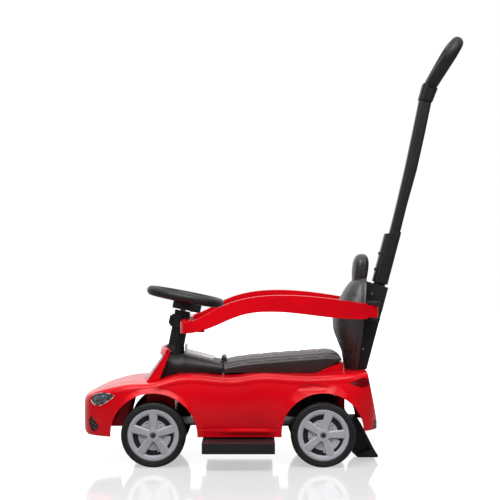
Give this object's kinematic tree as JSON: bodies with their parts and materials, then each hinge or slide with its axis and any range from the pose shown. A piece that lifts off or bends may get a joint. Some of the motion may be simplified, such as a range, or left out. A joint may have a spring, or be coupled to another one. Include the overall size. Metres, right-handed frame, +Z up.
{
  "type": "push car with handle",
  "caption": "Toddler push car: steerable ride-on body with storage seat, backrest, swing-open guard rails, pull-out footrests and a leaning push handle.",
  "frame": {"origin": "on the floor under the middle of the whole car, handle included", "axes": "+Z up, the nose towards -X, the car's left side towards -Y"},
  "size_m": [0.8211, 0.4028, 0.9193],
  "materials": {
    "red_plastic": "high gloss moulded red",
    "black_plastic": "fine grained black",
    "seat_plastic": "soft leather-look grain",
    "tyre_plastic": "matte black",
    "silver_plastic": "satin silver",
    "cap_plastic": "gloss black",
    "steel": "bright zinc",
    "pane_plastic": "smoked grey",
    "lamp_lens": "clear",
    "lamp_bowl": "gloss black",
    "tail_lamp": "deep red"
  },
  "bodies": {
    "car": {"body_shell": "red_plastic", "front_grille": "black_plastic", "bumper_intakes": "black_plastic", "headlamp_bowls": "lamp_bowl", "headlamp_lenses": "lamp_lens", "tail_lamps": "tail_lamp", "rear_diffuser": "black_plastic", "windshield_frame": "red_plastic", "windshield_pane": "pane_plastic", "chassis_pan": "black_plastic", "chassis_screws": "steel", "front_axle_bridge": "red_plastic", "storage_bin": "black_plastic", "seat_hinge_pin": "steel", "dash_console": "black_plastic", "console_trim": "silver_plastic", "column_housing": "black_plastic", "column_collar": "black_plastic", "rail_collar": "black_plastic", "backrest_cushion": "seat_plastic", "headrest": "seat_plastic", "backrest_frame": "black_plastic", "rail_hinge_pins": "steel", "rear_axle": "steel", "rear_axle_nuts": "steel", "anti_tip_stand": "black_plastic"},
    "seat": {"seat_lid": "seat_plastic"},
    "steering": {"steering_shaft": "steel", "steering_wheel": "black_plastic", "battery_door": "black_plastic"},
    "horn": {"horn_button": "black_plastic"},
    "knuckle_l": {"knuckle_left": "black_plastic", "stub_axle_left": "steel"},
    "knuckle_r": {"knuckle_right": "black_plastic", "stub_axle_right": "steel"},
    "track_rod": {"tie_rod": "black_plastic"},
    "step_l": {"footrest_left": "black_plastic"},
    "step_r": {"footrest_right": "black_plastic"},
    "rail_l": {"guard_rail_left": "red_plastic"},
    "rail_r": {"guard_rail_right": "red_plastic"},
    "release_l": {"rail_release_tab_left": "red_plastic"},
    "release_r": {"rail_release_tab_right": "red_plastic"},
    "push_handle": {"handle_sleeve": "black_plastic", "handle_shaft": "black_plastic", "handle_collar": "black_plastic", "handle_grip": "black_plastic"},
    "snap_low": {"snap_button_lower": "black_plastic"},
    "snap_high": {"snap_button_upper": "black_plastic"},
    "wheel_front_left": {"tyre_front_left": "tyre_plastic", "wheel_cover_front_left": "silver_plastic", "centre_cap_front_left": "cap_plastic"},
    "wheel_front_right": {"tyre_front_right": "tyre_plastic", "wheel_cover_front_right": "silver_plastic", "centre_cap_front_right": "cap_plastic"},
    "wheel_rear_left": {"tyre_rear_left": "tyre_plastic", "wheel_cover_rear_left": "silver_plastic", "centre_cap_rear_left": "cap_plastic"},
    "wheel_rear_right": {"tyre_rear_right": "tyre_plastic", "wheel_cover_rear_right": "silver_plastic", "centre_cap_rear_right": "cap_plastic"}
  },
  "joints": [
    {"name": "seat_lift", "type": "hinge", "parent": "car", "child": "seat", "pos_m": [0.134, 0, 0.224], "axis": [0, 1, 0], "range_deg": [0, 70]},
    {"name": "steering_turn", "type": "hinge", "parent": "car", "child": "steering", "pos_m": [-0.191, 0, 0.353], "axis": [0.1908, 0, 0.9816], "range_deg": [-30, 30]},
    {"name": "horn_press", "type": "slide", "parent": "steering", "child": "horn", "axis": [-0.1908, 0, -0.9816], "range_m": [0, 0.002], "stiffness_N_per_m": 500, "springref_m": -0.001},
    {"name": "knuckle_left_turn", "type": "hinge", "parent": "car", "child": "knuckle_l", "pos_m": [-0.252, -0.094, 0.11], "axis": [0, 0, 1], "range_deg": [-23, 23]},
    {"name": "knuckle_right_turn", "type": "hinge", "parent": "car", "child": "knuckle_r", "pos_m": [-0.252, 0.094, 0.11], "axis": [0, 0, 1], "range_deg": [-23, 23]},
    {"name": "tie_rod_pivot", "type": "hinge", "parent": "knuckle_l", "child": "track_rod", "pos_m": [-0.212, -0.094, 0.0725], "axis": [0, 0, 1], "range_deg": [-23, 23]},
    {"name": "wheel_front_left_roll", "type": "hinge", "parent": "knuckle_l", "child": "wheel_front_left", "pos_m": [-0.252, -0.128, 0.068], "axis": [0, 1, 0], "continuous": true},
    {"name": "wheel_front_right_roll", "type": "hinge", "parent": "knuckle_r", "child": "wheel_front_right", "pos_m": [-0.252, 0.128, 0.068], "axis": [0, 1, 0], "continuous": true},
    {"name": "wheel_rear_left_roll", "type": "hinge", "parent": "car", "child": "wheel_rear_left", "pos_m": [0.104, -0.128, 0.068], "axis": [0, 1, 0], "continuous": true},
    {"name": "wheel_rear_right_roll", "type": "hinge", "parent": "car", "child": "wheel_rear_right", "pos_m": [0.104, 0.128, 0.068], "axis": [0, 1, 0], "continuous": true},
    {"name": "footrest_left_slide", "type": "slide", "parent": "car", "child": "step_l", "axis": [0, 1, 0], "range_m": [0, 0.05]},
    {"name": "footrest_right_slide", "type": "slide", "parent": "car", "child": "step_r", "axis": [0, -1, 0], "range_m": [0, 0.05]},
    {"name": "rail_left_swing", "type": "hinge", "parent": "car", "child": "rail_l", "pos_m": [0.212, -0.121, 0.326], "axis": [0, 0, 1], "range_deg": [0, 90]},
    {"name": "rail_right_swing", "type": "hinge", "parent": "car", "child": "rail_r", "pos_m": [0.212, 0.121, 0.326], "axis": [0, 0, -1], "range_deg": [0, 90]},
    {"name": "release_left_press", "type": "slide", "parent": "rail_l", "child": "release_l", "axis": [0, 0, 1], "range_m": [0, 0.003], "stiffness_N_per_m": 400, "springref_m": -0.001},
    {"name": "release_right_press", "type": "slide", "parent": "rail_r", "child": "release_r", "axis": [0, 0, 1], "range_m": [0, 0.003], "stiffness_N_per_m": 400, "springref_m": -0.001},
    {"name": "handle_pull", "type": "slide", "parent": "car", "child": "push_handle", "axis": [0.2554, 0, 0.9668], "range_m": [0, 0.07]},
    {"name": "snap_lower_press", "type": "slide", "parent": "push_handle", "child": "snap_low", "axis": [0.9668, 0, -0.2554], "range_m": [0, 0.0025], "stiffness_N_per_m": 400, "springref_m": -0.001},
    {"name": "snap_upper_press", "type": "slide", "parent": "push_handle", "child": "snap_high", "axis": [0.9668, 0, -0.2554], "range_m": [0, 0.0025], "stiffness_N_per_m": 400, "springref_m": -0.001}
  ],
  "couplings": [
    {"joint": "knuckle_left_turn", "follows": "steering_turn", "ratio": 0.75},
    {"joint": "knuckle_right_turn", "follows": "steering_turn", "ratio": 0.75},
    {"joint": "tie_rod_pivot", "follows": "steering_turn", "ratio": -0.75}
  ]
}
